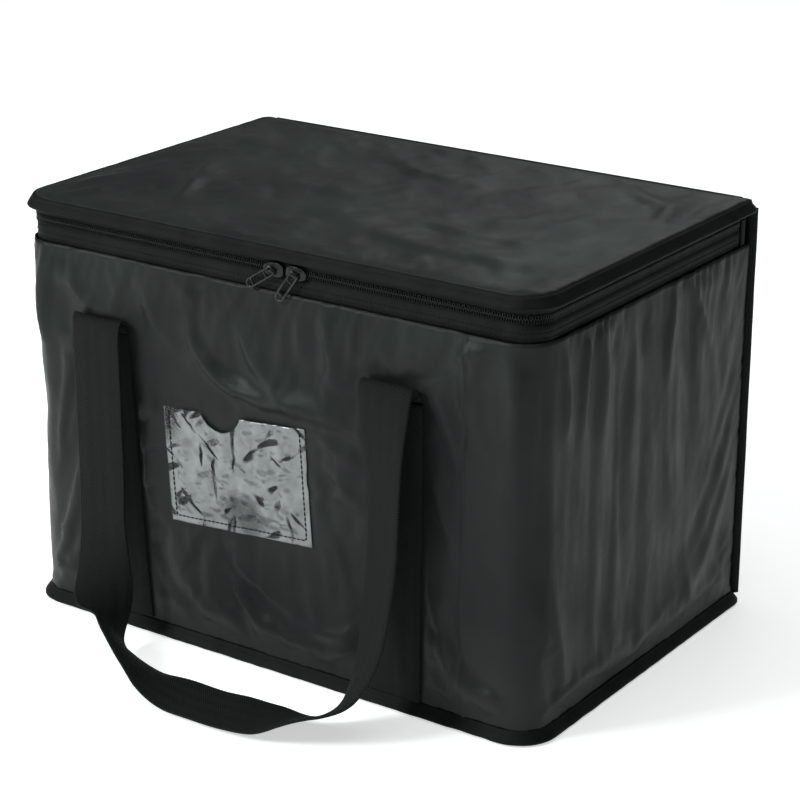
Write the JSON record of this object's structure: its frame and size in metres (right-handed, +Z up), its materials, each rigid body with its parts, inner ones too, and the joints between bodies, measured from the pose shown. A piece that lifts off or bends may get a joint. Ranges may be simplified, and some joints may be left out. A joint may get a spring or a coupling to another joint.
{
  "type": "insulated food carrier",
  "caption": "Soft insulated food carrier: a black woven box over foam with a foil liner, zipped hinged lid, clear card pocket and webbing handles.",
  "frame": {"origin": "middle of the footprint, on the floor that the bag stands on", "axes": "+X right along the front, +Y towards the lid's hinge at the back, +Z up"},
  "size_m": [0.4068, 0.4404, 0.2814],
  "materials": {
    "outer_cloth": "satin",
    "foam": "matte",
    "foil_liner": "satin",
    "binding_tape": "satin",
    "zipper_tape": "matte",
    "zipper_coil": "gloss",
    "slider_metal": "gloss",
    "clear_film": "gloss",
    "thread": "matte",
    "webbing": "matte"
  },
  "bodies": {
    "bag": {"outer_wrap": "outer_cloth", "outer_back": "outer_cloth", "outer_bottom": "outer_cloth", "foam_front": "foam", "foam_left": "foam", "foam_right": "foam", "foam_back": "foam", "foam_bottom": "foam", "liner_wrap": "foil_liner", "liner_back": "foil_liner", "liner_bottom": "foil_liner", "rim_binding": "binding_tape", "bottom_binding": "binding_tape", "back_left_binding": "binding_tape", "back_right_binding": "binding_tape", "hinge_piping": "binding_tape", "zipper_tape_lower": "zipper_tape", "zipper_coil_lower": "zipper_coil", "zipper_end_left": "zipper_tape", "zipper_end_right": "zipper_tape", "card_pocket": "clear_film", "pocket_stitching": "thread", "webbing_front_left": "webbing", "webbing_front_right": "webbing", "webbing_back_left": "webbing", "webbing_back_right": "webbing"},
    "lid": {"lid_panel": "outer_cloth", "lid_foam": "foam", "lid_liner": "foil_liner", "lid_binding": "binding_tape", "zipper_tape_upper": "zipper_tape", "zipper_coil_upper": "zipper_coil"},
    "front_handle": {"front_handle": "webbing"},
    "back_handle": {"back_handle": "webbing"},
    "slider_left": {"slider_left": "slider_metal"},
    "slider_right": {"slider_right": "slider_metal"},
    "pull_left": {"pull_left": "slider_metal"},
    "pull_right": {"pull_right": "slider_metal"}
  },
  "joints": [
    {"name": "lid_hinge", "type": "hinge", "parent": "bag", "child": "lid", "pos_m": [0, 0.1296, 0.2802], "axis": [-1, 0, 0], "range_deg": [0, 100]},
    {"name": "front_handle_swing", "type": "hinge", "parent": "bag", "child": "front_handle", "pos_m": [0, -0.138, 0.213], "axis": [-1, 0, 0], "range_deg": [0, 150]},
    {"name": "back_handle_swing", "type": "hinge", "parent": "bag", "child": "back_handle", "pos_m": [0, 0.138, 0.213], "axis": [1, 0, 0], "range_deg": [0, 150]},
    {"name": "slider_left_run", "type": "slide", "parent": "bag", "child": "slider_left", "axis": [-1, 0, 0], "range_m": [0, 0.174]},
    {"name": "slider_right_run", "type": "slide", "parent": "bag", "child": "slider_right", "axis": [1, 0, 0], "range_m": [0, 0.139]},
    {"name": "pull_left_flip", "type": "hinge", "parent": "slider_left", "child": "pull_left", "pos_m": [0.009, -0.1333, 0.267], "axis": [-0.5446, 0, 0.8387], "range_deg": [0, 110]},
    {"name": "pull_right_flip", "type": "hinge", "parent": "slider_right", "child": "pull_right", "pos_m": [0.026, -0.1333, 0.267], "axis": [-0.809, 0, 0.5878], "range_deg": [0, 110]}
  ]
}
